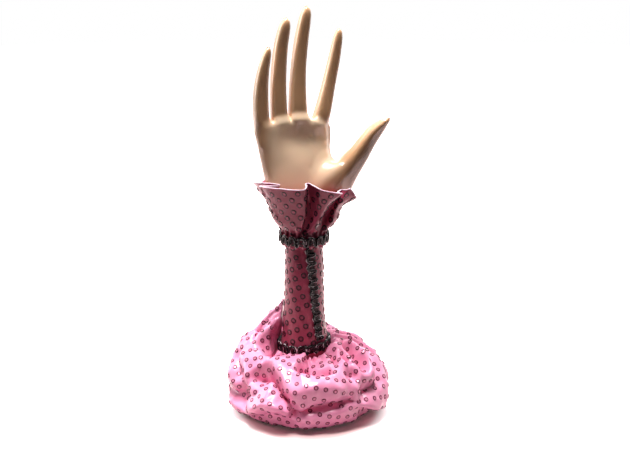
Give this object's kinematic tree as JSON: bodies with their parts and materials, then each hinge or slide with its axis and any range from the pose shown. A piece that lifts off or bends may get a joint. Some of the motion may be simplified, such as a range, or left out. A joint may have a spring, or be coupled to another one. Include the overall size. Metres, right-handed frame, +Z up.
{
  "type": "hand jewellery stand",
  "caption": "Jewellery display stand shaped as an upright open hand, palm to the front, on a fabric-covered forearm with a pleated cuff, braid trim and a crumpled puff round its base.",
  "frame": {"origin": "centre of the felt pad's underside, which rests on the table, on the forearm's axis", "axes": "+Z up along the forearm to the fingertips, -Y to the front where the palm faces, +X to the thumb's side"},
  "size_m": [0.1424, 0.1464, 0.3569],
  "materials": {
    "hand": "semi-gloss flesh paint on a smooth casting",
    "satin": "pink satin with raised mauve dots",
    "braid": "shiny black gimp braid",
    "base_board": "plain sawn board",
    "base_screw": "plain",
    "wadding": "loose fibre",
    "felt_pad": "dark felt"
  },
  "bodies": {
    "root": {"felt_pad": "felt_pad", "base_board": "base_board", "base_screw": "base_screw", "hand": "hand", "sleeve": "satin", "cuff": "satin", "puff": "satin", "wadding": "wadding", "wrist_braid": "braid", "seam_braid": "braid", "hem_braid": "braid"}
  },
  "joints": []
}
